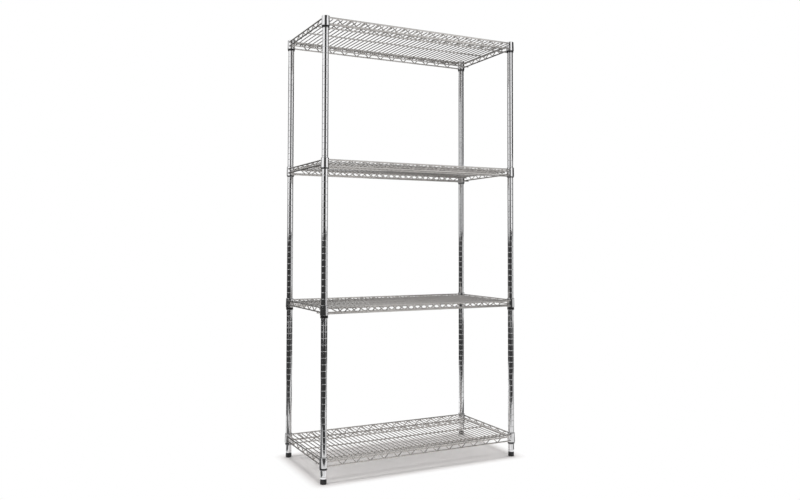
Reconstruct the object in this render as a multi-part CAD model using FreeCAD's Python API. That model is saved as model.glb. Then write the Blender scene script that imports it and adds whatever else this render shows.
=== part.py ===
import FreeCAD, Part
import math
import os

# A free-standing wire shelving unit: four grooved posts, four welded wire shelves that wedge
# down on split sleeves, and screwed levelling feet.
# Millimetres, Z up, front towards -Y. The origin is on the floor, midway between the posts.

# Posts
post_spacing_x = 878.0
post_spacing_y = 420.0
post_diameter = 25.4
post_wall = 1.2
groove_pitch = 25.4
groove_depth = 0.45
groove_width = 2.2
groove_floor_width = 1.0
first_groove_height = 7.0
post_above_top_groove = 20.5

# The groove that each shelf sits on, counted from the lowest one
shelf_grooves = (2, 25, 48, 70)

# How much higher than usual each shelf has settled on the taper of its sleeves
shelf_seats = (0.0, 4.0, -3.0, 0.0)

# Split sleeves, two tapered halves on each post under each shelf corner
sleeve_height = 44.0
sleeve_rib_height = 24.0
sleeve_wall_bottom = 2.5
sleeve_wall_top = 1.2
sleeve_bore_play = 0.1
sleeve_rib_play = 0.1
sleeve_split_gap = 0.4
sleeve_tab_height = 10.0
sleeve_tab_reach = 1.6
sleeve_tab_play = 0.3

# Collars, the tapered corner tubes of a shelf
collar_height = 39.0
collar_wall = 1.5
collar_play = 0.2
collar_lip_radius = 0.9
sleeve_below_collar = 7.0

# Shelf wires
rod_diameter = 6.0
rod_outside_post_axis = 12.0
long_top_rod_below_collar_top = 8.0
long_bottom_rod_above_collar_bottom = 6.5
short_top_rod_below_collar_top = 9.5
short_bottom_rod_above_collar_bottom = 11.5
zigzag_diameter = 4.4
zigzag_bend_radius = 5.0
zigzag_tail = 7.0
zigzag_collar_margin = 10.0
deck_wire_diameter = 4.2
deck_wire_pitch = 20.15
deck_wires_per_zigzag = 3
deck_wire_overhang = 1.5
deck_wire_collar_margin = 4.0
support_diameter = 5.2
support_truss_inset = 58.0
support_end_margin = 1.5
weld_gap = 0.05

# Post caps
cap_plug_length = 14.0
cap_plug_play = 0.1
cap_overhang = 0.3
cap_rim_height = 1.8
cap_dome_height = 2.4

# Threaded inserts in the lower ends of the posts
insert_length = 26.0
insert_play = 0.1
insert_flange = 2.0

# Levelling feet
foot_diameter = 25.0
foot_height = 19.5
foot_shoulder_radius = 5.0
foot_bottom_radius = 2.5
foot_floor_thickness = 4.0
foot_post_play = 0.3
stud_diameter = 9.5
stud_length = 46.0
stud_head_diameter = 15.0
stud_head_height = 4.0
stud_play = 0.3

# Radii and heights that follow
up = FreeCAD.Vector(0, 0, 1)
post_radius = post_diameter / 2
bore_radius = post_radius - post_wall
rod_radius = rod_diameter / 2
zigzag_radius = zigzag_diameter / 2
deck_wire_radius = deck_wire_diameter / 2
support_radius = support_diameter / 2
stud_radius = stud_diameter / 2
sleeve_bore = post_radius + sleeve_bore_play

post_bottom = foot_height + foot_post_play + insert_flange
first_groove = post_bottom + first_groove_height
sleeve_bottoms = [first_groove + n * groove_pitch - sleeve_rib_height for n in shelf_grooves]
post_top = first_groove + shelf_grooves[-1] * groove_pitch + post_above_top_groove

# Heights on one shelf, measured from the lower edge of its sleeves
collar_bottom = sleeve_below_collar
collar_top = collar_bottom + collar_height
long_top_z = collar_top - long_top_rod_below_collar_top
long_bottom_z = collar_bottom + long_bottom_rod_above_collar_bottom
short_top_z = collar_top - short_top_rod_below_collar_top
short_bottom_z = collar_bottom + short_bottom_rod_above_collar_bottom
deck_z = long_top_z - rod_radius - deck_wire_radius - weld_gap
support_top_z = deck_z - deck_wire_radius - support_radius - weld_gap
support_bottom_z = short_bottom_z - rod_radius - support_radius - weld_gap

# Places on one shelf, seen from above
corner_x = post_spacing_x / 2
corner_y = post_spacing_y / 2
corners = {
    "front_left": (-corner_x, -corner_y),
    "front_right": (corner_x, -corner_y),
    "rear_left": (-corner_x, corner_y),
    "rear_right": (corner_x, corner_y),
}
rod_x = corner_x + rod_outside_post_axis
rod_y = corner_y + rod_outside_post_axis
inner_face_x = rod_x - rod_radius - weld_gap - zigzag_diameter
support_end_x = inner_face_x - support_end_margin
support_y = rod_y - support_truss_inset
zigzag_pitch = deck_wires_per_zigzag * deck_wire_pitch


def sleeve_radius(z):
    """Outer radius of a sleeve at a height above its lower edge."""
    lower = sleeve_bore + sleeve_wall_bottom
    upper = sleeve_bore + sleeve_wall_top
    return lower + (upper - lower) * z / sleeve_height


def collar_bore(z):
    return sleeve_radius(z) + collar_play


def collar_radius(z):
    return collar_bore(z) + collar_wall


def revolve(edges):
    """Solid of revolution about the Z axis of a closed outline in the XZ plane."""
    face = Part.Face(Part.Wire(Part.__sortEdges__(edges)))
    solid = face.revolve(FreeCAD.Vector(0, 0, 0), up, 360)
    return Part.Solid(solid) if solid.ShapeType == "Shell" else solid


def outline_edges(points):
    """Straight edges through (radius, height) points, closed at the end."""
    corners_3d = [FreeCAD.Vector(r, 0, z) for r, z in points]
    corners_3d.append(corners_3d[0])
    return [Part.makeLine(a, b) for a, b in zip(corners_3d, corners_3d[1:])]


def line(a, b):
    return Part.makeLine(FreeCAD.Vector(a[0], 0, a[1]), FreeCAD.Vector(b[0], 0, b[1]))


def arc(a, middle, b):
    through = [FreeCAD.Vector(r, 0, z) for r, z in (a, middle, b)]
    return Part.Arc(*through).toShape()


def quarter_round(start, center, end, radius):
    """Quarter circle from start to end about a center, by its middle point."""
    toward = FreeCAD.Vector(start[0] + end[0] - 2 * center[0], 0, start[1] + end[1] - 2 * center[1])
    toward.normalize()
    middle = (center[0] + toward.x * radius, center[1] + toward.z * radius)
    return arc(start, middle, end)


# Posts, caps and inserts


def make_post():
    """Tube with a rolled groove at each step; the bore is plain."""
    points = [(bore_radius, post_bottom), (post_radius, post_bottom)]
    for n in range(shelf_grooves[-1] + 1):
        z = first_groove + n * groove_pitch
        points += [
            (post_radius, z - groove_width / 2),
            (post_radius - groove_depth, z - groove_floor_width / 2),
            (post_radius - groove_depth, z + groove_floor_width / 2),
            (post_radius, z + groove_width / 2),
        ]
    points += [(post_radius, post_top), (bore_radius, post_top)]
    return revolve(outline_edges(points))


def make_cap():
    """Plug with a low domed head that covers the end of the post."""
    plug = bore_radius - cap_plug_play
    head = post_radius + cap_overhang
    rim = post_top + cap_rim_height
    crown = rim + cap_dome_height
    dome_radius = (head ** 2 + cap_dome_height ** 2) / (2 * cap_dome_height)
    middle_r = head / 2
    middle_z = crown - dome_radius + math.sqrt(dome_radius ** 2 - middle_r ** 2)
    edges = [
        line((0, post_top - cap_plug_length), (plug, post_top - cap_plug_length)),
        line((plug, post_top - cap_plug_length), (plug, post_top)),
        line((plug, post_top), (head, post_top)),
        line((head, post_top), (head, rim)),
        arc((head, rim), (middle_r, middle_z), (0, crown)),
        line((0, crown), (0, post_top - cap_plug_length)),
    ]
    return revolve(edges)


def make_insert():
    """Flanged bush in the lower end of the post, bored for the stud."""
    bore = stud_radius + stud_play
    body = bore_radius - insert_play
    points = [
        (bore, post_bottom - insert_flange),
        (post_radius, post_bottom - insert_flange),
        (post_radius, post_bottom),
        (body, post_bottom),
        (body, post_bottom + insert_length),
        (bore, post_bottom + insert_length),
    ]
    return revolve(outline_edges(points))


# Levelling feet


def make_stud():
    """Screw shank with a round head that turns inside the foot pad."""
    head = stud_head_diameter / 2
    head_top = foot_floor_thickness + stud_head_height
    top = foot_floor_thickness + stud_length
    points = [
        (0, foot_floor_thickness),
        (head, foot_floor_thickness),
        (head, head_top),
        (stud_radius, head_top),
        (stud_radius, top),
        (0, top),
    ]
    return revolve(outline_edges(points))


def make_pad():
    """Moulded pad with rounded edges and a cavity that traps the head of the stud."""
    outer = foot_diameter / 2
    sole_r = outer - foot_bottom_radius
    neck = stud_radius + stud_play
    cavity = stud_head_diameter / 2 + stud_play
    cavity_bottom = foot_floor_thickness - stud_play
    cavity_top = foot_floor_thickness + stud_head_height + stud_play
    shoulder_z = foot_height - foot_shoulder_radius
    shoulder_r = outer - foot_shoulder_radius
    edges = [
        line((0, 0), (sole_r, 0)),
        quarter_round((sole_r, 0), (sole_r, foot_bottom_radius), (outer, foot_bottom_radius),
                      foot_bottom_radius),
        line((outer, foot_bottom_radius), (outer, shoulder_z)),
        quarter_round((outer, shoulder_z), (shoulder_r, shoulder_z), (shoulder_r, foot_height),
                      foot_shoulder_radius),
        line((shoulder_r, foot_height), (neck, foot_height)),
        line((neck, foot_height), (neck, cavity_top)),
        line((neck, cavity_top), (cavity, cavity_top)),
        line((cavity, cavity_top), (cavity, cavity_bottom)),
        line((cavity, cavity_bottom), (0, cavity_bottom)),
        line((0, cavity_bottom), (0, 0)),
    ]
    return revolve(edges)


# Sleeves and collars


def make_sleeve_halves():
    """Two like halves round one post, with a rib in the groove and a tab on one edge of each."""
    rib_z = sleeve_rib_height
    rib_tip = post_radius - groove_depth + sleeve_rib_play
    rib_base = groove_width / 2 - sleeve_rib_play
    rib_end = groove_floor_width / 2 - sleeve_rib_play
    whole = revolve(outline_edges([
        (sleeve_bore, 0),
        (sleeve_radius(0), 0),
        (sleeve_radius(sleeve_height), sleeve_height),
        (sleeve_bore, sleeve_height),
        (sleeve_bore, rib_z + rib_base),
        (rib_tip, rib_z + rib_end),
        (rib_tip, rib_z - rib_end),
        (sleeve_bore, rib_z - rib_base),
    ]))
    ring = revolve(outline_edges([
        (sleeve_bore, 0),
        (sleeve_radius(0), 0),
        (sleeve_radius(sleeve_height), sleeve_height),
        (sleeve_bore, sleeve_height),
    ]))
    reach = 2 * sleeve_radius(0)
    tab_z = rib_z - groove_width - sleeve_tab_height
    back_half = Part.makeBox(2 * reach, reach, sleeve_height,
                             FreeCAD.Vector(-reach, sleeve_split_gap / 2, 0))
    tab = Part.makeBox(reach, sleeve_tab_reach + sleeve_split_gap, sleeve_tab_height,
                       FreeCAD.Vector(0, -sleeve_tab_reach, tab_z)).common(ring)
    notch = Part.makeBox(reach, sleeve_tab_reach + sleeve_split_gap + sleeve_tab_play,
                         sleeve_tab_height + 2 * sleeve_tab_play,
                         FreeCAD.Vector(-reach, -sleeve_split_gap / 2, tab_z - sleeve_tab_play))
    back = whole.common(back_half).fuse(tab).cut(notch).removeSplitter()
    front = back.copy()
    front.rotate(FreeCAD.Vector(0, 0, 0), up, 180)
    return [back, front]


def make_collar():
    """Tapered tube with its upper edge rolled in."""
    lip = collar_lip_radius
    rim_r = collar_radius(collar_top)
    edges = [
        line((collar_bore(collar_bottom), collar_bottom), (collar_radius(collar_bottom), collar_bottom)),
        line((collar_radius(collar_bottom), collar_bottom), (rim_r, collar_top - lip)),
        quarter_round((rim_r, collar_top - lip), (rim_r - lip, collar_top - lip), (rim_r - lip, collar_top),
                      lip),
        line((rim_r - lip, collar_top), (collar_bore(collar_top), collar_top)),
        line((collar_bore(collar_top), collar_top), (collar_bore(collar_bottom), collar_bottom)),
    ]
    return revolve(edges)


def make_collar_envelope():
    """Outer shape of a collar with room for the weld, which trims the rods that meet it."""
    return Part.makeCone(collar_radius(collar_bottom) + weld_gap, collar_radius(collar_top) + weld_gap,
                         collar_height, FreeCAD.Vector(0, 0, collar_bottom))


def at_corners(shapes, places):
    """Copies of the shapes at post axes."""
    placed = []
    for x, y in places:
        for shape in shapes:
            copy = shape.copy()
            copy.translate(FreeCAD.Vector(x, y, 0))
            placed.append(copy)
    return placed


# Rods and wires


def straight_wire(start, end, radius):
    start = FreeCAD.Vector(*start)
    direction = FreeCAD.Vector(*end) - start
    return Part.makeCylinder(radius, direction.Length, start, direction)


def bent_wire(points, radius, bend_radius):
    """Round wire along straight runs joined by tangent arcs."""
    points = [FreeCAD.Vector(*p) for p in points]
    edges = []
    run_start = points[0]
    for before, point, after in zip(points, points[1:], points[2:]):
        inward = (point - before).normalize()
        outward = (after - point).normalize()
        half_turn = inward.getAngle(outward) / 2
        setback = bend_radius * math.tan(half_turn)
        bisector = (outward - inward).normalize()
        center = point + bisector * (bend_radius / math.cos(half_turn))
        arc_start = point - inward * setback
        arc_end = point + outward * setback
        edges.append(Part.makeLine(run_start, arc_start))
        edges.append(Part.Arc(arc_start, center - bisector * bend_radius, arc_end).toShape())
        run_start = arc_end
    edges.append(Part.makeLine(run_start, points[-1]))
    circle = Part.Wire(Part.makeCircle(radius, points[0], points[1] - points[0]))
    return Part.Wire(edges).makePipeShell([circle], True, False)


def zigzag_count(half_span):
    """Odd number of zigzag bays between two collars, so that deck wires pass under the crests."""
    clear = half_span - collar_radius(collar_bottom) - zigzag_collar_margin
    bays = int(2 * clear / zigzag_pitch)
    return bays - 1 + bays % 2


def zigzag_outline(half_span, low, high):
    """Corner points (along, height) of a zigzag whose rounded bends reach low and high."""
    half_pitch = zigzag_pitch / 2
    rise = high - low
    for step in range(30):
        slant = math.hypot(rise, half_pitch) / half_pitch
        rise = high - low + 2 * zigzag_bend_radius * (slant - 1)
    beyond = (rise - (high - low)) / 2
    bays = zigzag_count(half_span)
    start = -bays * half_pitch
    tail_shift = beyond * half_pitch / rise
    points = [(start - zigzag_tail, high), (start + tail_shift, high)]
    for n in range(1, 2 * bays):
        height = high + beyond if n % 2 == 0 else low - beyond
        points.append((start + n * half_pitch, height))
    points += [(-start - tail_shift, high), (-start + zigzag_tail, high)]
    return points


def long_truss(y, inward):
    """Front or rear truss: two rods coped to the collars, and a zigzag on their inner side."""
    cutters = at_corners([make_collar_envelope()], corners.values())
    rods = []
    for z in (long_top_z, long_bottom_z):
        rod = straight_wire((-corner_x, y, z), (corner_x, y, z), rod_radius)
        rods.append(rod.cut(cutters).Solids[0])
    wire_y = y + inward * (rod_radius + zigzag_radius + weld_gap)
    path = [(x, wire_y, z) for x, z in zigzag_outline(corner_x, long_bottom_z, long_top_z)]
    return rods + [bent_wire(path, zigzag_radius, zigzag_bend_radius)]


def short_truss(x, inward):
    """Left or right truss, made as the long ones are but less deep."""
    cutters = at_corners([make_collar_envelope()], corners.values())
    rods = []
    for z in (short_top_z, short_bottom_z):
        rod = straight_wire((x, -corner_y, z), (x, corner_y, z), rod_radius)
        rods.append(rod.cut(cutters).Solids[0])
    wire_x = x + inward * (rod_radius + zigzag_radius + weld_gap)
    path = [(wire_x, y, z) for y, z in zigzag_outline(corner_y, short_bottom_z, short_top_z)]
    return rods + [bent_wire(path, zigzag_radius, zigzag_bend_radius)]


def support_truss(y, inward):
    """Truss under the deck: its lower rod lies under the lower rods of the short trusses."""
    lower_end = rod_x + support_end_margin
    upper = straight_wire((-support_end_x, y, support_top_z), (support_end_x, y, support_top_z),
                          support_radius)
    lower = straight_wire((-lower_end, y, support_bottom_z), (lower_end, y, support_bottom_z),
                          support_radius)
    wire_y = y + inward * (support_radius + zigzag_radius + weld_gap)
    path = [(x, wire_y, z) for x, z in zigzag_outline(corner_x, support_bottom_z, support_top_z)]
    return [upper, lower, bent_wire(path, zigzag_radius, zigzag_bend_radius)]


def center_support():
    """Single rod under the middle of the deck wires."""
    return [straight_wire((-support_end_x, 0, support_top_z), (support_end_x, 0, support_top_z),
                          support_radius)]


def deck_wires():
    """Wires from front to back, welded under the long top rods and over the supports.

    Wires that would meet the collars stop short of them and are held by the supports alone.
    """
    collar_room = collar_radius(collar_bottom) + deck_wire_collar_margin
    long_reach = corner_x - collar_room - deck_wire_radius
    reach = inner_face_x - weld_gap - deck_wire_radius
    pairs = int(reach / deck_wire_pitch + 0.5)
    wires = []
    for n in range(-pairs, pairs):
        x = (n + 0.5) * deck_wire_pitch
        end = rod_y + deck_wire_overhang if abs(x) <= long_reach else corner_y - collar_room
        wires.append(straight_wire((x, -end, deck_z), (x, end, deck_z), deck_wire_radius))
    return wires


# The assembly, one file for each named piece or group of like pieces


def raised(shapes, height):
    """Copies of the shapes at a height."""
    placed = [shape.copy() for shape in shapes]
    for shape in placed:
        shape.translate(FreeCAD.Vector(0, 0, height))
    return placed


def write(name, shapes):
    shape = shapes[0] if len(shapes) == 1 else Part.makeCompound(shapes)
    shape.exportStep("parts/" + name + ".step")


def main():
    os.makedirs("parts", exist_ok=True)
    post_pieces = {
        "post": make_post(),
        "cap": make_cap(),
        "insert": make_insert(),
        "foot_stud": make_stud(),
        "foot_pad": make_pad(),
    }
    for piece, shape in post_pieces.items():
        for corner, (x, y) in corners.items():
            copy = shape.copy()
            copy.translate(FreeCAD.Vector(x, y, 0))
            write(piece + "_" + corner, [copy])

    halves = make_sleeve_halves()
    sleeve_pieces = {
        "left_sleeves": at_corners(halves, (corners["front_left"], corners["rear_left"])),
        "right_sleeves": at_corners(halves, (corners["front_right"], corners["rear_right"])),
    }
    shelf_pieces = {
        "collars": at_corners([make_collar()], corners.values()),
        "front_truss": long_truss(-rod_y, 1),
        "rear_truss": long_truss(rod_y, -1),
        "left_truss": short_truss(-rod_x, 1),
        "right_truss": short_truss(rod_x, -1),
        "support_trusses": support_truss(-support_y, 1) + support_truss(support_y, -1),
        "center_support": center_support(),
        "deck_wires": deck_wires(),
    }
    for number, (level, seat) in enumerate(zip(sleeve_bottoms, shelf_seats), start=1):
        for piece, shapes in sleeve_pieces.items():
            write("shelf_{}_{}".format(number, piece), raised(shapes, level))
        for piece, shapes in shelf_pieces.items():
            write("shelf_{}_{}".format(number, piece), raised(shapes, level + seat))


main()
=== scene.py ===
import math

import bpy
import numpy as np
from mathutils import Matrix, Vector


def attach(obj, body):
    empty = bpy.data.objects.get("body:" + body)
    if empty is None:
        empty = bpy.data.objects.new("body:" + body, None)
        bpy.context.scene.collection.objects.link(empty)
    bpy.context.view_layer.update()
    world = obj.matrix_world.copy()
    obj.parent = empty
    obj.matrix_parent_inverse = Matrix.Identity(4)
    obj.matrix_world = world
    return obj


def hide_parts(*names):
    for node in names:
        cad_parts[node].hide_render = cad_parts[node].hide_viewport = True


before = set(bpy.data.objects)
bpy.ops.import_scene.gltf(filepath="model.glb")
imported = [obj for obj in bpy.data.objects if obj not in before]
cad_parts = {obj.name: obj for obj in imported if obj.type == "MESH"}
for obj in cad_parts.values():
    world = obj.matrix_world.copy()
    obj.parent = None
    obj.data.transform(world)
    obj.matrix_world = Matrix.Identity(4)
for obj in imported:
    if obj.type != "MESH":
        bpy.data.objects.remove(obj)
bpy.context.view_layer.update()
scene = bpy.context.scene
scene.view_settings.view_transform = "Standard"

# The looks of a wire shelving unit: a finer mesh takes the place of each CAD node, at the same size
# and in the same place, and a stage round the unit holds the light and what the chrome reflects.
# Sizes of the unit are in millimetres, as in the CAD part; those of the stage are in metres.
MM = 0.001

# Posts
POST_X = 439.0
POST_Y = 210.0
POST_RADIUS = 12.7
POST_WALL = 1.2
GROOVE_PITCH = 25.4
GROOVE_DEPTH = 0.45
GROOVE_HALF = 1.1
GROOVE_FLOOR_HALF = 0.5
FIRST_GROOVE_HEIGHT = 7.0
POST_ABOVE_TOP_GROOVE = 20.5

# The groove that each shelf sits on, and how much higher than usual the shelf has settled there
SHELF_GROOVES = (2, 25, 48, 70)
SHELF_SEATS = (0.0, 4.0, -3.0, 0.0)

# Split sleeves
SLEEVE_HEIGHT = 44.0
SLEEVE_RIB = 24.0
SLEEVE_WALL_BOTTOM = 2.5
SLEEVE_WALL_TOP = 1.2
SLEEVE_BORE_PLAY = 0.1
SLEEVE_RIB_PLAY = 0.1
SLEEVE_SPLIT = 0.4
SLEEVE_TAB_HEIGHT = 10.0
SLEEVE_TAB_REACH = 1.6
SLEEVE_TAB_PLAY = 0.3

# Collars, with heights above the lower edge of the sleeves
COLLAR_BOTTOM = 7.0
COLLAR_TOP = 46.0
COLLAR_WALL = 1.5
COLLAR_PLAY = 0.2
COLLAR_LIP = 0.9

# Rods and wires of a shelf, with heights above the lower edge of the sleeves
ROD_RADIUS = 3.0
ROD_OUT = 12.0
LONG_TOP = 38.0
LONG_BOTTOM = 13.5
SHORT_TOP = 36.5
SHORT_BOTTOM = 18.5
ZIGZAG_RADIUS = 2.2
ZIGZAG_BEND = 5.0
ZIGZAG_TAIL = 7.0
ZIGZAG_COLLAR_MARGIN = 10.0
DECK_RADIUS = 2.1
DECK_PITCH = 20.15
DECK_WIRES_PER_ZIGZAG = 3
DECK_OVERHANG = 1.5
DECK_COLLAR_MARGIN = 4.0
SUPPORT_RADIUS = 2.6
SUPPORT_INSET = 58.0
SUPPORT_MARGIN = 1.5
WELD_GAP = 0.05

# Caps, inserts and feet
CAP_PLUG_LENGTH = 14.0
CAP_PLUG_PLAY = 0.1
CAP_OVERHANG = 0.3
CAP_RIM = 1.8
CAP_DOME = 2.4
INSERT_LENGTH = 26.0
INSERT_PLAY = 0.1
INSERT_FLANGE = 2.0
FOOT_RADIUS = 12.5
FOOT_HEIGHT = 19.5
FOOT_SHOULDER = 5.0
FOOT_EDGE = 2.5
FOOT_FLOOR = 4.0
FOOT_POST_PLAY = 0.3
STUD_RADIUS = 4.75
STUD_PLAY = 0.3
STUD_LENGTH = 46.0
STUD_HEAD_RADIUS = 7.5
STUD_HEAD_HEIGHT = 4.0
THREAD_PITCH = 1.5875

# Small forms that only matter for looks: soft edges, ends of wires and the form of the thread
POST_EDGE = 0.25
GROOVE_MARGIN = 0.4
COLLAR_EDGE = 0.35
CAP_EDGE = 0.4
INSERT_EDGE = 0.3
STUD_HEAD_EDGE = 0.3
WIRE_EDGE = 0.4
ROD_INTO_COLLAR = 1.5
# Radius of the flat faces that close the pad round its axis
PAD_CENTER = 0.5
THREAD_DEPTH = 0.8
# Height above the head in which the thread grows to its full depth
THREAD_START = 0.4
# Share of the pitch that is flat at the crest of the thread, and as much again at its root
THREAD_FLAT = 1 / 6

# Fineness of the meshes
POST_SIDES = 40
COLLAR_SIDES = 40
SLEEVE_STEPS = 20
ROD_SIDES = 16
WIRE_SIDES = 12
THREAD_SIDES = 24
THREAD_STEPS = 8
GROOVE_STEPS = 4
LIP_STEPS = 5
DOME_STEPS = 10
FOOT_EDGE_STEPS = 8
FOOT_SHOULDER_STEPS = 12
BEND_STEPS = 6
SHARP_ANGLE = math.radians(40)
# Rounds in which the rise of a zigzag with rounded bends is worked out
ZIGZAG_ROUNDS = 30

# Sizes that follow
POST_BORE = POST_RADIUS - POST_WALL
POST_BOTTOM = FOOT_HEIGHT + FOOT_POST_PLAY + INSERT_FLANGE
FIRST_GROOVE = POST_BOTTOM + FIRST_GROOVE_HEIGHT
GROOVES = SHELF_GROOVES[-1] + 1
POST_TOP = FIRST_GROOVE + SHELF_GROOVES[-1] * GROOVE_PITCH + POST_ABOVE_TOP_GROOVE
SLEEVE_BORE = POST_RADIUS + SLEEVE_BORE_PLAY
SLEEVE_TAPER = (SLEEVE_WALL_BOTTOM - SLEEVE_WALL_TOP) / SLEEVE_HEIGHT
SLEEVE_LEVELS = [FIRST_GROOVE + n * GROOVE_PITCH - SLEEVE_RIB for n in SHELF_GROOVES]
SHELF_LEVELS = [level + seat for level, seat in zip(SLEEVE_LEVELS, SHELF_SEATS)]
ROD_X = POST_X + ROD_OUT
ROD_Y = POST_Y + ROD_OUT
INNER_FACE_X = ROD_X - ROD_RADIUS - WELD_GAP - 2 * ZIGZAG_RADIUS
ZIGZAG_PITCH = DECK_WIRES_PER_ZIGZAG * DECK_PITCH
DECK_Z = LONG_TOP - ROD_RADIUS - DECK_RADIUS - WELD_GAP
DECK_PAIRS = int((INNER_FACE_X - WELD_GAP - DECK_RADIUS) / DECK_PITCH + 0.5)
SUPPORT_TOP = DECK_Z - DECK_RADIUS - SUPPORT_RADIUS - WELD_GAP
SUPPORT_BOTTOM = SHORT_BOTTOM - ROD_RADIUS - SUPPORT_RADIUS - WELD_GAP
SUPPORT_X = INNER_FACE_X - SUPPORT_MARGIN
SUPPORT_Y = ROD_Y - SUPPORT_INSET
CORNERS = {
    "front_left": (-POST_X, -POST_Y),
    "front_right": (POST_X, -POST_Y),
    "rear_left": (-POST_X, POST_Y),
    "rear_right": (POST_X, POST_Y),
}


def sleeve_radius(z):
    """Outer radius of a sleeve at a height above its lower edge."""
    return SLEEVE_BORE + SLEEVE_WALL_BOTTOM - SLEEVE_TAPER * z


def collar_bore(z):
    return sleeve_radius(z) + COLLAR_PLAY


def collar_radius(z):
    return collar_bore(z) + COLLAR_WALL


# Mesh building, in millimetres; each shape is a pair of vertex rows and face tuples


def ring_faces(count, sides, closed=False):
    """Faces between rings of vertices; an open row of rings gets a flat face at each end."""
    faces = []
    for i in range(count if closed else count - 1):
        a = i * sides
        b = ((i + 1) % count) * sides
        for k in range(sides):
            m = (k + 1) % sides
            faces.append((a + k, a + m, b + m, b + k))
    if not closed:
        faces.append(tuple(range(sides))[::-1])
        faces.append(tuple(range((count - 1) * sides, count * sides)))
    return faces


def lathe(outline, sides, closed=False):
    """Surface of revolution about Z of an outline of (radius, height) points."""
    angles = np.linspace(0, 2 * math.pi, sides, endpoint=False)
    rows = [np.stack([r * np.cos(angles), r * np.sin(angles), np.full(sides, z)], 1) for r, z in outline]
    return np.concatenate(rows), ring_faces(len(outline), sides, closed)


def tube(path, radius, sides):
    """Round wire along a path, with its cut ends slightly broken."""
    path = np.array(path, float)
    first = path[1] - path[0]
    last = path[-1] - path[-2]
    first /= np.linalg.norm(first)
    last /= np.linalg.norm(last)
    path = np.concatenate([[path[0]], [path[0] + first * WIRE_EDGE], path[1:-1],
                           [path[-1] - last * WIRE_EDGE], [path[-1]]])
    radii = np.full(len(path), radius)
    radii[[0, -1]] = radius - WIRE_EDGE
    ahead = np.diff(path, axis=0)
    ahead /= np.linalg.norm(ahead, axis=1)[:, None]
    tangents = np.concatenate([ahead[:1], ahead[:-1] + ahead[1:], ahead[-1:]])
    tangents /= np.linalg.norm(tangents, axis=1)[:, None]
    side = np.cross(tangents[0], (0.0, 0.0, 1.0))
    side /= np.linalg.norm(side)
    angles = np.linspace(0, 2 * math.pi, sides, endpoint=False)
    rows = []
    for point, tangent, r in zip(path, tangents, radii):
        side = side - tangent * (side @ tangent)
        side /= np.linalg.norm(side)
        other = np.cross(tangent, side)
        rows.append(point + r * (np.outer(np.cos(angles), side) + np.outer(np.sin(angles), other)))
    return np.concatenate(rows), ring_faces(len(path), sides)


def quarter_turns(steps):
    """Angles from zero to a right angle."""
    return [n * math.pi / 2 / steps for n in range(steps + 1)]


def moved(shape, x, y, z):
    return shape[0] + np.array([x, y, z]), shape[1]


def joined(shapes):
    vertices = []
    faces = []
    offset = 0
    for points, polygons in shapes:
        vertices.append(points)
        faces += [tuple(i + offset for i in polygon) for polygon in polygons]
        offset += len(points)
    return np.concatenate(vertices), faces


# Shapes of the posts, caps, inserts and feet


def post_shape():
    """Grooved tube; each groove is rolled in with a soft round profile."""
    beside = GROOVE_HALF + GROOVE_MARGIN
    groove = [(POST_RADIUS, -beside)]
    for n in range(-GROOVE_STEPS, GROOVE_STEPS + 1):
        share = n / GROOVE_STEPS
        dip = GROOVE_DEPTH * (1 + math.cos(math.pi * share)) / 2
        groove.append((POST_RADIUS - dip, GROOVE_HALF * share))
    groove.append((POST_RADIUS, beside))
    outline = [
        (POST_BORE, POST_BOTTOM),
        (POST_RADIUS - POST_EDGE, POST_BOTTOM),
        (POST_RADIUS, POST_BOTTOM + POST_EDGE),
        (POST_RADIUS, POST_BOTTOM + 2 * POST_EDGE),
    ]
    for n in range(GROOVES):
        z = FIRST_GROOVE + n * GROOVE_PITCH
        outline += [(r, z + dz) for r, dz in groove]
    outline += [
        (POST_RADIUS, POST_TOP - 2 * POST_EDGE),
        (POST_RADIUS, POST_TOP - POST_EDGE),
        (POST_RADIUS - POST_EDGE, POST_TOP),
        (POST_BORE, POST_TOP),
    ]
    return lathe(outline, POST_SIDES, closed=True)


def cap_shape():
    """Plug with a low domed head, its rim softly broken."""
    plug = POST_BORE - CAP_PLUG_PLAY
    head = POST_RADIUS + CAP_OVERHANG
    rim = POST_TOP + CAP_RIM
    crown = rim + CAP_DOME
    dome = (head ** 2 + CAP_DOME ** 2) / (2 * CAP_DOME)
    # Between rim and dome one point lies a third of the edge inwards and a quarter of it down
    outline = [
        (plug - CAP_EDGE, POST_TOP - CAP_PLUG_LENGTH),
        (plug, POST_TOP - CAP_PLUG_LENGTH + CAP_EDGE),
        (plug, POST_TOP),
        (head - CAP_EDGE / 2, POST_TOP),
        (head, POST_TOP + CAP_EDGE / 2),
        (head, rim - CAP_EDGE),
        (head - CAP_EDGE / 3, rim - CAP_EDGE / 4),
    ]
    # The last ring of the dome stays a little off the axis, where a flat face closes it
    for n in range(DOME_STEPS + 1):
        r = (head - CAP_EDGE) * (1 - n / (DOME_STEPS + 0.5))
        outline.append((r, crown - dome + math.sqrt(dome ** 2 - r ** 2)))
    return lathe(outline, POST_SIDES)


def insert_shape():
    """Flanged bush in the lower end of a post."""
    bore = STUD_RADIUS + STUD_PLAY
    body = POST_BORE - INSERT_PLAY
    flange = POST_BOTTOM - INSERT_FLANGE
    top = POST_BOTTOM + INSERT_LENGTH
    outline = [
        (bore, flange + INSERT_EDGE),
        (bore + INSERT_EDGE, flange),
        (POST_RADIUS - INSERT_EDGE, flange),
        (POST_RADIUS, flange + INSERT_EDGE),
        (POST_RADIUS, POST_BOTTOM),
        (body, POST_BOTTOM),
        (body, top - INSERT_EDGE),
        (body - INSERT_EDGE, top),
        (bore, top),
    ]
    return lathe(outline, POST_SIDES, closed=True)


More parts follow.
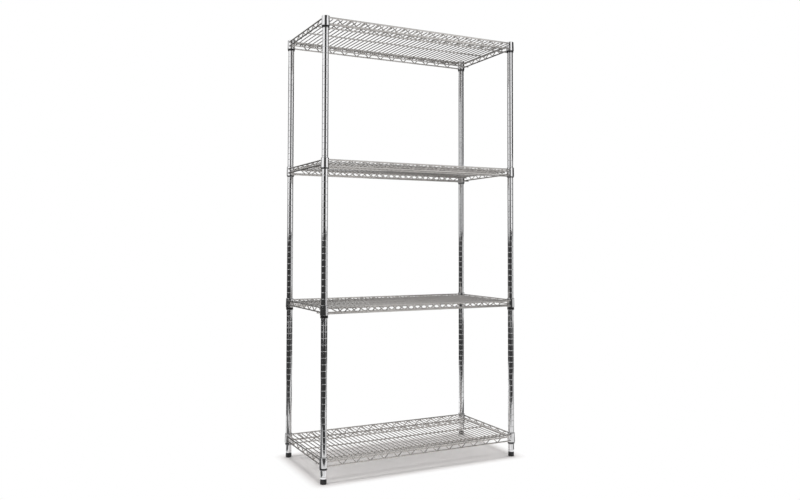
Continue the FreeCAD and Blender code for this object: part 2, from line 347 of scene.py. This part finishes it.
def stud_shape():
    """Screw shank with a rolled thread, over the plain round head in the pad."""
    neck = FOOT_FLOOR + STUD_HEAD_HEIGHT
    top = FOOT_FLOOR + STUD_LENGTH
    core = STUD_RADIUS - THREAD_DEPTH
    head = [
        (STUD_HEAD_RADIUS - STUD_HEAD_EDGE, FOOT_FLOOR),
        (STUD_HEAD_RADIUS, FOOT_FLOOR + STUD_HEAD_EDGE),
        (STUD_HEAD_RADIUS, neck - STUD_HEAD_EDGE),
        (STUD_HEAD_RADIUS - STUD_HEAD_EDGE, neck),
        (core, neck),
    ]
    steps = int((top - neck) / THREAD_PITCH * THREAD_STEPS)
    shank = [(core, neck + (top - neck) * n / steps) for n in range(1, steps + 1)]
    points, faces = lathe(head + shank, THREAD_SIDES)
    x, y, z = points.T
    phase = (z / THREAD_PITCH - np.arctan2(y, x) / (2 * math.pi)) % 1.0
    off_crest = np.abs(phase * 2 - 1)
    crest = THREAD_DEPTH * np.clip((1 - THREAD_FLAT - off_crest) / (1 - 2 * THREAD_FLAT), 0, 1)
    crest *= np.clip((top - z) / THREAD_PITCH, 0, 1) * np.clip((z - neck) / THREAD_START, 0, 1)
    radius = np.hypot(x, y)
    points[:, :2] *= ((radius + crest) / radius)[:, None]
    return points, faces


def pad_shape():
    """Foot pad with rounded edges and the cavity that traps the head of the stud."""
    neck = STUD_RADIUS + STUD_PLAY
    cavity = STUD_HEAD_RADIUS + STUD_PLAY
    floor = FOOT_FLOOR - STUD_PLAY
    roof = FOOT_FLOOR + STUD_HEAD_HEIGHT + STUD_PLAY
    outline = [(PAD_CENTER, 0)]
    for turn in quarter_turns(FOOT_EDGE_STEPS):
        outline.append((FOOT_RADIUS - FOOT_EDGE * (1 - math.sin(turn)), FOOT_EDGE * (1 - math.cos(turn))))
    for turn in quarter_turns(FOOT_SHOULDER_STEPS):
        outline.append((FOOT_RADIUS - FOOT_SHOULDER * (1 - math.cos(turn)),
                        FOOT_HEIGHT - FOOT_SHOULDER * (1 - math.sin(turn))))
    outline += [(neck, FOOT_HEIGHT), (neck, roof), (cavity, roof), (cavity, floor), (PAD_CENTER, floor)]
    return lathe(outline, POST_SIDES)


# Shapes of the sleeves and collars


def sleeve_half():
    """Back half of a split sleeve: a tapered shell with a rib inside, a tab on one edge and a notch."""
    split = SLEEVE_SPLIT / 2 / SLEEVE_BORE
    tab = SLEEVE_TAB_REACH / SLEEVE_BORE
    notch = (SLEEVE_TAB_REACH + SLEEVE_TAB_PLAY) / SLEEVE_BORE
    turns = [-tab] + list(np.linspace(split, math.pi - notch, SLEEVE_STEPS)) + [math.pi - split]
    tab_top = SLEEVE_RIB - 2 * GROOVE_HALF
    tab_bottom = tab_top - SLEEVE_TAB_HEIGHT
    rib_tip = POST_RADIUS - GROOVE_DEPTH + SLEEVE_RIB_PLAY
    rib_base = GROOVE_HALF - SLEEVE_RIB_PLAY
    rib_end = GROOVE_FLOOR_HALF - 2 * SLEEVE_RIB_PLAY
    bores = [
        (0, SLEEVE_BORE),
        (tab_bottom - SLEEVE_TAB_PLAY, SLEEVE_BORE),
        (tab_bottom, SLEEVE_BORE),
        (tab_top, SLEEVE_BORE),
        (tab_top + SLEEVE_TAB_PLAY, SLEEVE_BORE),
        (SLEEVE_RIB - rib_base, SLEEVE_BORE),
        (SLEEVE_RIB - rib_end, rib_tip),
        (SLEEVE_RIB + rib_end, rib_tip),
        (SLEEVE_RIB + rib_base, SLEEVE_BORE),
        (SLEEVE_HEIGHT, SLEEVE_BORE),
    ]
    # The rows between these heights that the tab fills in the first column and the notch in the last
    tab_row = 2
    notch_rows = (1, 2, 3)
    columns = len(turns) - 1
    rows = len(bores) - 1
    points = []
    for turn in turns:
        for z, bore in bores:
            for r in (bore, sleeve_radius(z)):
                points.append((r * math.cos(turn), r * math.sin(turn), z))

    def corner(i, j, outer):
        return (i * (rows + 1) + j) * 2 + outer

    def filled(i, j):
        if not (0 <= i < columns and 0 <= j < rows):
            return False
        if i == 0:
            return j == tab_row
        return i < columns - 1 or j not in notch_rows

    faces = []
    for i in range(columns):
        for j in range(rows):
            if not filled(i, j):
                continue
            cell = [(i, j), (i + 1, j), (i + 1, j + 1), (i, j + 1)]
            faces.append(tuple(corner(a, b, 1) for a, b in cell))
            faces.append(tuple(corner(a, b, 0) for a, b in reversed(cell)))
            beside = [(i, j - 1), (i + 1, j), (i, j + 1), (i - 1, j)]
            for n, other in enumerate(beside):
                if not filled(*other):
                    a = cell[n]
                    b = cell[(n + 1) % len(cell)]
                    faces.append((corner(*a, 0), corner(*b, 0), corner(*b, 1), corner(*a, 1)))
    return np.array(points), faces


def collar_shape():
    """Tapered corner tube with its upper edge rolled in and its lower edge broken."""
    rim = collar_radius(COLLAR_TOP)
    below_lip = COLLAR_TOP - COLLAR_LIP - COLLAR_EDGE
    outline = [
        (collar_bore(COLLAR_BOTTOM), COLLAR_BOTTOM),
        (collar_radius(COLLAR_BOTTOM) - COLLAR_EDGE, COLLAR_BOTTOM),
        (collar_radius(COLLAR_BOTTOM), COLLAR_BOTTOM + COLLAR_EDGE),
        (collar_radius(COLLAR_BOTTOM + 2 * COLLAR_EDGE), COLLAR_BOTTOM + 2 * COLLAR_EDGE),
        (collar_radius(below_lip), below_lip),
    ]
    for turn in quarter_turns(LIP_STEPS):
        outline.append((rim - COLLAR_LIP * (1 - math.cos(turn)),
                        COLLAR_TOP - COLLAR_LIP * (1 - math.sin(turn))))
    outline.append((collar_bore(COLLAR_TOP), COLLAR_TOP))
    return lathe(outline, COLLAR_SIDES, closed=True)


# Shapes of the rods and wires


def rounded_path(corners, radius):
    """Points along straight runs joined by arcs of a bend radius."""
    corners = [np.array(c, float) for c in corners]
    path = [corners[0]]
    for before, point, after in zip(corners, corners[1:], corners[2:]):
        inward = (point - before) / np.linalg.norm(point - before)
        outward = (after - point) / np.linalg.norm(after - point)
        half = math.acos(np.clip(inward @ outward, -1, 1)) / 2
        bisector = (outward - inward) / np.linalg.norm(outward - inward)
        center = point + bisector * radius / math.cos(half)
        along = (inward + outward) / np.linalg.norm(inward + outward)
        for n in range(BEND_STEPS + 1):
            turn = -half + 2 * half * n / BEND_STEPS
            path.append(center - bisector * radius * math.cos(turn) + along * radius * math.sin(turn))
    path.append(corners[-1])
    return path


def zigzag_bays(half_span):
    """Odd number of zigzag bays between two collars, so that deck wires pass under the crests."""
    clear = half_span - collar_radius(COLLAR_BOTTOM) - ZIGZAG_COLLAR_MARGIN
    bays = int(2 * clear / ZIGZAG_PITCH)
    return bays - 1 + bays % 2


def zigzag_corners(half_span, low, high):
    """Corner points (along, height) of a zigzag whose rounded bends reach low and high."""
    half_pitch = ZIGZAG_PITCH / 2
    rise = high - low
    for _ in range(ZIGZAG_ROUNDS):
        slant = math.hypot(rise, half_pitch) / half_pitch
        rise = high - low + 2 * ZIGZAG_BEND * (slant - 1)
    beyond = (rise - (high - low)) / 2
    bays = zigzag_bays(half_span)
    start = -bays * half_pitch
    shift = beyond * half_pitch / rise
    points = [(start - ZIGZAG_TAIL, high), (start + shift, high)]
    for n in range(1, 2 * bays):
        points.append((start + n * half_pitch, high + beyond if n % 2 == 0 else low - beyond))
    points += [(-start - shift, high), (-start + ZIGZAG_TAIL, high)]
    return points


def rod_reach(half_span, z):
    """How far a rod runs towards a post: to the side of the collar and a little into its wall."""
    return half_span - math.sqrt(collar_radius(z) ** 2 - ROD_OUT ** 2) + ROD_INTO_COLLAR


def truss(rods, rod_radius, across, inward, half_span, turned=False):
    """An upper and a lower rod, each a (reach, height) pair, and a zigzag wire on their inner side.

    A truss runs from left to right at a place across, or, turned, from front to back.
    """
    def place(along, side, z):
        return (side, along, z) if turned else (along, side, z)

    shapes = []
    for reach, z in rods:
        shapes.append(tube([place(-reach, across, z), place(reach, across, z)], rod_radius, ROD_SIDES))
    wire = across + inward * (rod_radius + ZIGZAG_RADIUS + WELD_GAP)
    high, low = [z for reach, z in rods]
    corners = [place(along, wire, z) for along, z in zigzag_corners(half_span, low, high)]
    shapes.append(tube(rounded_path(corners, ZIGZAG_BEND), ZIGZAG_RADIUS, WIRE_SIDES))
    return shapes


def long_truss(y, inward):
    rods = [(rod_reach(POST_X, z), z) for z in (LONG_TOP, LONG_BOTTOM)]
    return truss(rods, ROD_RADIUS, y, inward, POST_X)


def short_truss(x, inward):
    rods = [(rod_reach(POST_Y, z), z) for z in (SHORT_TOP, SHORT_BOTTOM)]
    return truss(rods, ROD_RADIUS, x, inward, POST_Y, turned=True)


def support_truss(y, inward):
    rods = [(SUPPORT_X, SUPPORT_TOP), (ROD_X + SUPPORT_MARGIN, SUPPORT_BOTTOM)]
    return truss(rods, SUPPORT_RADIUS, y, inward, POST_X)


def center_support():
    return [tube([(-SUPPORT_X, 0, SUPPORT_TOP), (SUPPORT_X, 0, SUPPORT_TOP)], SUPPORT_RADIUS, ROD_SIDES)]


def deck_wires():
    """Wires from front to back; those that would meet the collars stop short of them."""
    collar_room = collar_radius(COLLAR_BOTTOM) + DECK_COLLAR_MARGIN
    wires = []
    for n in range(-DECK_PAIRS, DECK_PAIRS):
        x = (n + 0.5) * DECK_PITCH
        clear = abs(x) <= POST_X - collar_room - DECK_RADIUS
        end = ROD_Y + DECK_OVERHANG if clear else POST_Y - collar_room
        wires.append(tube([(x, -end, DECK_Z), (x, end, DECK_Z)], DECK_RADIUS, WIRE_SIDES))
    return wires


# Materials: noise blends a darker and a lighter tone, and a lower and a higher roughness
CHROME = ((0.82, 0.82, 0.83), (0.88, 0.88, 0.89))
WIRE_CHROME = ((0.72, 0.695, 0.67), (0.78, 0.755, 0.73))
ZINC = ((0.50, 0.50, 0.52), (0.60, 0.60, 0.62))
BLACK = ((0.012, 0.012, 0.013), (0.022, 0.022, 0.024))
FOOT_BLACK = ((0.016, 0.016, 0.017), (0.030, 0.030, 0.032))
FLOOR_TONES = ((0.82, 0.797, 0.79), (0.84, 0.817, 0.81))
WHITE = (1, 1, 1, 1)

# Scales of the noise, its detail, the span of its values that counts, and the bumps of the plastic
METAL_TONE_SCALE = 14
PLASTIC_TONE_SCALE = 60
PLASTIC_ROUGH_SCALE = 220
PLASTIC_BUMP_SCALE = 900
FLOOR_TONE_SCALE = 3
SOFT_DETAIL = 2
FINE_DETAIL = 3
NOISE_SPAN = (0.3, 0.7)
BUMP_STRENGTH = 0.15
BUMP_DEPTH = 0.0002
FLOOR_ROUGHNESS = 0.9


def new_material(name):
    material = bpy.data.materials.new(name)
    material.use_nodes = True
    return material, material.node_tree, material.node_tree.nodes["Principled BSDF"]


def noise(tree, scale, detail):
    place = tree.nodes.new("ShaderNodeTexCoord")
    texture = tree.nodes.new("ShaderNodeTexNoise")
    texture.inputs["Scale"].default_value = scale
    texture.inputs["Detail"].default_value = detail
    tree.links.new(place.outputs["Object"], texture.inputs["Vector"])
    return texture.outputs["Fac"]


def spread(tree, value, limits):
    """Maps a noise value to a range."""
    node = tree.nodes.new("ShaderNodeMapRange")
    node.inputs["From Min"].default_value = NOISE_SPAN[0]
    node.inputs["From Max"].default_value = NOISE_SPAN[1]
    node.inputs["To Min"].default_value = limits[0]
    node.inputs["To Max"].default_value = limits[1]
    tree.links.new(value, node.inputs["Value"])
    return node.outputs["Result"]


def ramp(tree, value, tones):
    """Maps a noise value to a colour between two."""
    node = tree.nodes.new("ShaderNodeValToRGB")
    for element, position, tone in zip(node.color_ramp.elements, NOISE_SPAN, tones):
        element.position = position
        element.color = (*tone, 1)
    tree.links.new(value, node.inputs["Fac"])
    return node.outputs["Color"]


def metal(name, tones, roughness, grain):
    material, tree, shader = new_material(name)
    shader.inputs["Metallic"].default_value = 1.0
    tone = ramp(tree, noise(tree, METAL_TONE_SCALE, SOFT_DETAIL), tones)
    tree.links.new(tone, shader.inputs["Base Color"])
    rough = spread(tree, noise(tree, grain, FINE_DETAIL), roughness)
    tree.links.new(rough, shader.inputs["Roughness"])
    return material


def plastic(name, tones, roughness):
    material, tree, shader = new_material(name)
    tone = ramp(tree, noise(tree, PLASTIC_TONE_SCALE, FINE_DETAIL), tones)
    tree.links.new(tone, shader.inputs["Base Color"])
    rough = spread(tree, noise(tree, PLASTIC_ROUGH_SCALE, FINE_DETAIL), roughness)
    tree.links.new(rough, shader.inputs["Roughness"])
    bump = tree.nodes.new("ShaderNodeBump")
    bump.inputs["Strength"].default_value = BUMP_STRENGTH
    bump.inputs["Distance"].default_value = BUMP_DEPTH
    tree.links.new(noise(tree, PLASTIC_BUMP_SCALE, SOFT_DETAIL), bump.inputs["Height"])
    tree.links.new(bump.outputs["Normal"], shader.inputs["Normal"])
    return material


# The look of each material slot
zinc_steel = metal("zinc_steel", ZINC, roughness=(0.28, 0.42), grain=140)
looks = {
    "post_chrome": metal("post_chrome", CHROME, roughness=(0.05, 0.10), grain=90),
    "collar_chrome": metal("collar_chrome", CHROME, roughness=(0.06, 0.12), grain=120),
    "wire_chrome": metal("wire_chrome", WIRE_CHROME, roughness=(0.06, 0.12), grain=160),
    "insert_steel": zinc_steel,
    "stud_steel": zinc_steel,
    "sleeve_plastic": plastic("black_sleeve", BLACK, roughness=(0.42, 0.55)),
    "cap_plastic": plastic("black_cap", BLACK, roughness=(0.45, 0.58)),
    "foot_plastic": plastic("black_foot", FOOT_BLACK, roughness=(0.45, 0.60)),
}

# The pieces


def piece(name, shapes, body, node, slot):
    """A new object from the shapes that stands for a CAD node and rides its body."""
    points, faces = joined(shapes)
    mesh = bpy.data.meshes.new(name)
    mesh.from_pydata((points * MM).tolist(), [], faces)
    mesh.shade_smooth()
    mesh.set_sharp_from_angle(angle=SHARP_ANGLE)
    mesh.materials.append(looks[slot])
    thing = bpy.data.objects.new(name, mesh)
    scene.collection.objects.link(thing)
    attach(thing, body)
    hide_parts(node)


# Pieces on each post: the starts of their names, nodes and bodies, then shape and slot
post_pieces = (
    ("grooved_post_", "post_", "frame", post_shape(), "post_chrome"),
    ("domed_cap_", "cap_", "frame", cap_shape(), "cap_plastic"),
    ("flanged_insert_", "insert_", "frame", insert_shape(), "insert_steel"),
    ("threaded_stud_", "foot_stud_", "stud_", stud_shape(), "stud_steel"),
    ("rounded_pad_", "foot_pad_", "pad_", pad_shape(), "foot_plastic"),
)
for name, node, body, shape, slot in post_pieces:
    for corner, (x, y) in CORNERS.items():
        rides = body if body == "frame" else body + corner
        piece(name + corner, [moved(shape, x, y, 0)], rides, node + corner, slot)

back_half = sleeve_half()
front_half = (back_half[0] * np.array([-1, -1, 1]), back_half[1])
for number, level in enumerate(SLEEVE_LEVELS, start=1):
    for side in ("left", "right"):
        places = [place for corner, place in CORNERS.items() if corner.endswith(side)]
        shapes = [moved(half, x, y, level) for x, y in places for half in (back_half, front_half)]
        node = "shelf_{}_{}_sleeves".format(number, side)
        piece("fine_" + node, shapes, "frame", node, "sleeve_plastic")

collar = collar_shape()
shelf_shapes = {
    "collars": [moved(collar, x, y, 0) for x, y in CORNERS.values()],
    "front_truss": long_truss(-ROD_Y, 1),
    "rear_truss": long_truss(ROD_Y, -1),
    "left_truss": short_truss(-ROD_X, 1),
    "right_truss": short_truss(ROD_X, -1),
    "support_trusses": support_truss(-SUPPORT_Y, 1) + support_truss(SUPPORT_Y, -1),
    "center_support": center_support(),
    "deck_wires": deck_wires(),
}
for number, level in enumerate(SHELF_LEVELS, start=1):
    body = "shelf_{}".format(number)
    for part, shapes in shelf_shapes.items():
        node = body + "_" + part
        slot = "collar_chrome" if part == "collars" else "wire_chrome"
        piece("fine_" + node, [moved(shape, 0, 0, level) for shape in shapes], body, node, slot)

# Camera, fitted to the posts and shelf edges in the photograph
CAMERA_PLACE = Vector((-1.5238, -3.0267, 0.9375))
CAMERA_YAW = math.radians(26.927)
CAMERA_PITCH = math.radians(1.904)
CAMERA_ROLL = math.radians(0.104)
CAMERA_SIGHT = 200.0
FOCAL_PIXELS = 767.26
CENTER_PIXELS = (403.44, 216.36)
IMAGE_SIZE = (800.0, 500.0)
SENSOR = 36.0

camera_data = bpy.data.cameras.new("camera")
camera_data.sensor_fit = "HORIZONTAL"
camera_data.sensor_width = SENSOR
camera_data.lens = FOCAL_PIXELS * SENSOR / IMAGE_SIZE[0]
camera_data.shift_x = (IMAGE_SIZE[0] / 2 - CENTER_PIXELS[0]) / IMAGE_SIZE[0]
camera_data.shift_y = (CENTER_PIXELS[1] - IMAGE_SIZE[1] / 2) / IMAGE_SIZE[0]
camera_data.clip_end = CAMERA_SIGHT
camera = bpy.data.objects.new("camera", camera_data)
scene.collection.objects.link(camera)
level_ahead = Vector((math.sin(CAMERA_YAW), math.cos(CAMERA_YAW), 0))
level_right = Vector((math.cos(CAMERA_YAW), -math.sin(CAMERA_YAW), 0))
ahead = level_ahead * math.cos(CAMERA_PITCH) + Vector((0, 0, math.sin(CAMERA_PITCH)))
level_up = level_right.cross(ahead)
right = level_right * math.cos(CAMERA_ROLL) + level_up * math.sin(CAMERA_ROLL)
upward = right.cross(ahead)
camera.matrix_world = Matrix((
    (right.x, upward.x, -ahead.x, CAMERA_PLACE.x),
    (right.y, upward.y, -ahead.y, CAMERA_PLACE.y),
    (right.z, upward.z, -ahead.z, CAMERA_PLACE.z),
    (0, 0, 0, 1),
))
scene.camera = camera

# Stage: a white background, a pale floor, and light and dark surfaces that only show in reflections
CAMERA_BEARING = math.atan2(CAMERA_PLACE.y, CAMERA_PLACE.x)
SCREEN_RADIUS = 6.0
CEILING = 6.0
PATCH_HEIGHT = 0.004
SHEET_HEIGHT = 0.006
BAND_STEPS = 24
FLOOR_HALF = 60.0
FLOOR_LIFT = 0.055
# The floor fades to white between these distances from the outline of the shelves
FLOOR_FADE = (0.0, 0.055)
SUN_STRENGTH = 2.6
SUN_WIDTH = math.radians(30)
FILL_STRENGTH = 0.3

# Each panel: name, its two ends on the plan, lower and upper edge, tone
PANELS = (
    ("panel_right", (-0.10, -1.80), (0.79, -0.77), 1.0, 2.5, 1.0),
    ("panel_left", (-1.75, -1.27), (-1.95, 0.9), 1.35, 5.8, 1.0),
)
# Each screen: name, first and last bearing off the camera's in degrees, lower and upper edge, tone
SCREENS = (
    ("screen_center", -95, 74, 1.9, CEILING, 0.05),
    ("screen_center_low", -36, 74, 1.0, 1.9, 0.03),
    ("screen_right", 74, 150, 1.9, CEILING, 0.03),
    ("screen_right_low", 74, 150, 1.0, 1.9, 0.40),
    ("screen_rear", 150, 210, 0.35, 1.75, 0.10),
    ("screen_rear_mid", 150, 210, 1.75, 3.0, 0.20),
    ("screen_rear_high", 150, 210, 3.0, CEILING, 0.50),
    ("screen_rear_left", 210, 262, 0.35, 1.75, 0.10),
    ("screen_rear_left_mid", 210, 262, 1.75, 3.0, 0.20),
    ("screen_rear_left_high", 210, 262, 3.0, CEILING, 0.50),
    ("screen_left_mid", -95, -36, 1.4, 1.9, 0.95),
    ("screen_left_low", -95, -36, 1.0, 1.4, 0.75),
    ("screen_floor_front", -98, 48, 0.01, 1.0, 0.04),
    ("screen_floor_rear", 150, 262, 0.01, 0.35, 0.05),
    ("screen_floor_right", 48, 150, 0.01, 1.0, 0.60),
)
# Each ring: name, first and last bearing, inner and outer radius, height, tone
RINGS = (
    ("floor_rear_near", 150, 240, 0.6, 2.2, PATCH_HEIGHT, 1.0),
    ("floor_rear_left_near", 240, 262, 0.6, 2.2, PATCH_HEIGHT, 0.05),
    ("floor_rear_far", 150, 262, 2.2, SCREEN_RADIUS, PATCH_HEIGHT, 0.03),
    ("floor_left_near", 262, 335, 1.3, 2.1, PATCH_HEIGHT, 0.08),
    ("floor_left_far", 262, 335, 2.1, SCREEN_RADIUS, PATCH_HEIGHT, 0.05),
    ("floor_right_near", 48, 150, 1.3, 2.6, PATCH_HEIGHT, 0.40),
    ("floor_right_far", 48, 150, 2.6, SCREEN_RADIUS, PATCH_HEIGHT, 0.10),
    ("ceiling_rear", 150, 405, 0.2, SCREEN_RADIUS, CEILING, 0.45),
    ("ceiling_right", 45, 150, 0.2, SCREEN_RADIUS, CEILING, 0.15),
)
# Each sheet on the floor: name, left and right edge, front and back edge, tone
SHEETS = (
    ("sheet_front", -3.5, 1.3, -6.0, -1.30, 0.04),
    ("sheet_front_left", -3.5, 0.12, -1.30, -0.60, 0.05),
    ("sheet_front_right", 0.12, 1.3, -1.30, -0.60, 0.75),
    ("sheet_near_front", -1.3, 0.9, -0.60, -0.30, 0.75),
    ("sheet_near_left", -1.3, -0.52, -0.30, 0.30, 0.10),
    ("sheet_right", 0.52, 1.25, -0.30, 1.0, 0.08),
)
# The one face of a panel, a sheet or the floor
QUAD = [(0, 1, 2, 3)]


def stage_object(name, points, faces, material):
    mesh = bpy.data.meshes.new(name)
    mesh.from_pydata(points, [], faces)
    mesh.materials.append(material)
    thing = bpy.data.objects.new(name, mesh)
    scene.collection.objects.link(thing)
    return thing


def glow(name, level):
    material = bpy.data.materials.new(name)
    material.use_nodes = True
    nodes = material.node_tree.nodes
    nodes.clear()
    emission = nodes.new("ShaderNodeEmission")
    emission.inputs["Color"].default_value = (level, level, level, 1)
    out = nodes.new("ShaderNodeOutputMaterial")
    material.node_tree.links.new(emission.outputs["Emission"], out.inputs["Surface"])
    return material


def reflected(name, points, faces, level):
    """A glowing surface that only shows in reflections."""
    thing = stage_object(name, points, faces, glow(name, level))
    thing.visible_camera = False
    thing.visible_diffuse = False
    thing.visible_shadow = False
    thing.visible_transmission = False
    thing.visible_volume_scatter = False


def band(name, start, end, edges, level):
    """Band round the unit between two bearings off the camera's; its edges are (radius, height) pairs."""
    points = []
    faces = []
    for n in range(BAND_STEPS + 1):
        bearing = CAMERA_BEARING + math.radians(start + (end - start) * n / BAND_STEPS)
        points += [(r * math.cos(bearing), r * math.sin(bearing), z) for r, z in edges]
        if n:
            faces.append((2 * n - 2, 2 * n, 2 * n + 1, 2 * n - 1))
    reflected(name, points, faces, level)


def rectangle(left, right, front, back, height):
    """Corners of a level rectangle."""
    return [(left, front, height), (right, front, height), (right, back, height), (left, back, height)]


def shown_rays(tree):
    """1 for the rays that show the background: from the camera, in reflections and through glass."""
    rays = tree.nodes.new("ShaderNodeLightPath")
    mirrored = tree.nodes.new("ShaderNodeMath")
    mirrored.operation = "MAXIMUM"
    tree.links.new(rays.outputs["Is Camera Ray"], mirrored.inputs[0])
    tree.links.new(rays.outputs["Is Glossy Ray"], mirrored.inputs[1])
    any_shown = tree.nodes.new("ShaderNodeMath")
    any_shown.operation = "MAXIMUM"
    tree.links.new(mirrored.outputs["Value"], any_shown.inputs[0])
    tree.links.new(rays.outputs["Is Transmission Ray"], any_shown.inputs[1])
    return any_shown.outputs["Value"]


def fade_from_unit(tree):
    """0 under the unit, rising to 1 a little outside the outline of its shelves."""
    place = tree.nodes.new("ShaderNodeNewGeometry")
    mirrored = tree.nodes.new("ShaderNodeVectorMath")
    mirrored.operation = "ABSOLUTE"
    tree.links.new(place.outputs["Position"], mirrored.inputs[0])
    beyond = tree.nodes.new("ShaderNodeVectorMath")
    beyond.operation = "SUBTRACT"
    beyond.inputs[1].default_value = (ROD_X * MM, ROD_Y * MM, 0)
    tree.links.new(mirrored.outputs["Vector"], beyond.inputs[0])
    outside = tree.nodes.new("ShaderNodeVectorMath")
    outside.operation = "MAXIMUM"
    tree.links.new(beyond.outputs["Vector"], outside.inputs[0])
    away = tree.nodes.new("ShaderNodeVectorMath")
    away.operation = "LENGTH"
    tree.links.new(outside.outputs["Vector"], away.inputs[0])
    fade = tree.nodes.new("ShaderNodeMapRange")
    fade.interpolation_type = "SMOOTHSTEP"
    fade.inputs["From Min"].default_value = FLOOR_FADE[0]
    fade.inputs["From Max"].default_value = FLOOR_FADE[1]
    tree.links.new(away.outputs["Value"], fade.inputs["Value"])
    return fade.outputs["Result"]


def floor_material():
    """Matte pale floor that keeps the shadow under the unit and shows white round it."""
    material, tree, shader = new_material("floor")
    shader.inputs["Roughness"].default_value = FLOOR_ROUGHNESS
    shader.inputs["Specular IOR Level"].default_value = 0.0
    tone = ramp(tree, noise(tree, FLOOR_TONE_SCALE, SOFT_DETAIL), FLOOR_TONES)
    tree.links.new(tone, shader.inputs["Base Color"])
    lift = tree.nodes.new("ShaderNodeEmission")
    lift.inputs["Strength"].default_value = FLOOR_LIFT
    total = tree.nodes.new("ShaderNodeAddShader")
    tree.links.new(shader.outputs["BSDF"], total.inputs[0])
    tree.links.new(lift.outputs["Emission"], total.inputs[1])
    white = tree.nodes.new("ShaderNodeEmission")
    shown = tree.nodes.new("ShaderNodeMixShader")
    tree.links.new(fade_from_unit(tree), shown.inputs["Fac"])
    tree.links.new(total.outputs["Shader"], shown.inputs[1])
    tree.links.new(white.outputs["Emission"], shown.inputs[2])
    gate = tree.nodes.new("ShaderNodeMixShader")
    tree.links.new(shown_rays(tree), gate.inputs["Fac"])
    tree.links.new(shader.outputs["BSDF"], gate.inputs[1])
    tree.links.new(shown.outputs["Shader"], gate.inputs[2])
    tree.links.new(gate.outputs["Shader"], tree.nodes["Material Output"].inputs["Surface"])
    return material


floor_corners = rectangle(-FLOOR_HALF, FLOOR_HALF, -FLOOR_HALF, FLOOR_HALF, 0)
stage_object("floor", floor_corners, QUAD, floor_material())
for name, start, end, low, high, level in PANELS:
    reflected(name, [(*start, low), (*end, low), (*end, high), (*start, high)], QUAD, level)
for name, start, end, low, high, level in SCREENS:
    band(name, start, end, ((SCREEN_RADIUS, low), (SCREEN_RADIUS, high)), level)
for name, start, end, inner, outer, height, level in RINGS:
    band(name, start, end, ((outer, height), (inner, height)), level)
for name, *edges, level in SHEETS:
    reflected(name, rectangle(*edges, SHEET_HEIGHT), QUAD, level)

# Light: a broad sun from straight above, and a world that shows white but only lights the unit softly
sun_data = bpy.data.lights.new("top_light", "SUN")
sun_data.energy = SUN_STRENGTH
sun_data.angle = SUN_WIDTH
sun = bpy.data.objects.new("top_light", sun_data)
scene.collection.objects.link(sun)
sun.visible_glossy = False

world = bpy.data.worlds.new("world")
scene.world = world
world.use_nodes = True
tree = world.node_tree
tree.nodes.clear()
seen = tree.nodes.new("ShaderNodeBackground")
seen.inputs["Color"].default_value = WHITE
fill = tree.nodes.new("ShaderNodeBackground")
fill.inputs["Color"].default_value = WHITE
fill.inputs["Strength"].default_value = FILL_STRENGTH
mix = tree.nodes.new("ShaderNodeMixShader")
out = tree.nodes.new("ShaderNodeOutputWorld")
tree.links.new(shown_rays(tree), mix.inputs["Fac"])
tree.links.new(fill.outputs["Background"], mix.inputs[1])
tree.links.new(seen.outputs["Background"], mix.inputs[2])
tree.links.new(mix.outputs["Shader"], out.inputs["Surface"])
